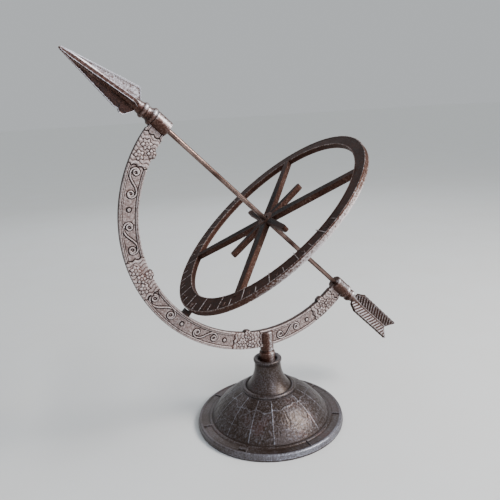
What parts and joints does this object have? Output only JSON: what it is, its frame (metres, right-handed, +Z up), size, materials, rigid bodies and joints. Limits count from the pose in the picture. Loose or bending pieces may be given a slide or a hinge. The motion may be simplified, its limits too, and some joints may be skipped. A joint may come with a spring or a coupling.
{
  "type": "garden sundial",
  "caption": "Cast-iron armillary sundial: a half-ring meridian arc on a domed foot, with an arrow-shaped gnomon rod through an hour dial.",
  "frame": {"origin": "middle of the foot's underside, which is also the middle of the bounding box's base", "axes": "+Z up; the meridian arc lies in the XZ plane with the arrowhead on the -X side and the arrow tail on the +X side; +Y is across the arc, along the object's shortest extent"},
  "size_m": [0.3434, 0.2386, 0.3901],
  "materials": {
    "foot_iron": "brown lacquered cast iron with a grey sheen on the high spots",
    "arc_iron": "brown lacquered cast iron, relief rubbed bright",
    "dial_iron": "dark brown lacquered cast iron",
    "rod_steel": "steel rod with a thin brown lacquer, semi-gloss",
    "arrow_iron": "brown lacquered cast iron with bright worn faces",
    "zinc_steel": "zinc-plated steel"
  },
  "bodies": {
    "foot": {"base": "foot_iron", "stem_washer": "zinc_steel"},
    "arc": {"meridian_arc": "arc_iron", "stem_bolt": "zinc_steel", "stem_spring_washer": "zinc_steel"},
    "arrow": {"gnomon_rod": "rod_steel", "arrowhead": "arrow_iron", "arrow_tail": "arrow_iron"},
    "dial": {"hour_dial": "dial_iron"}
  },
  "joints": [
    {"name": "arc_swivel", "type": "hinge", "parent": "foot", "child": "arc", "pos_m": [0, 0, 0.07], "axis": [0, 0, 1], "continuous": true},
    {"name": "arrow_turn", "type": "hinge", "parent": "arc", "child": "arrow", "pos_m": [0, 0, 0.23], "axis": [-0.7071, 0, 0.7071], "continuous": true},
    {"name": "dial_turn", "type": "hinge", "parent": "arc", "child": "dial", "pos_m": [0.00707, 0, 0.22293], "axis": [-0.6323, 0.0872, 0.7698], "continuous": true}
  ]
}
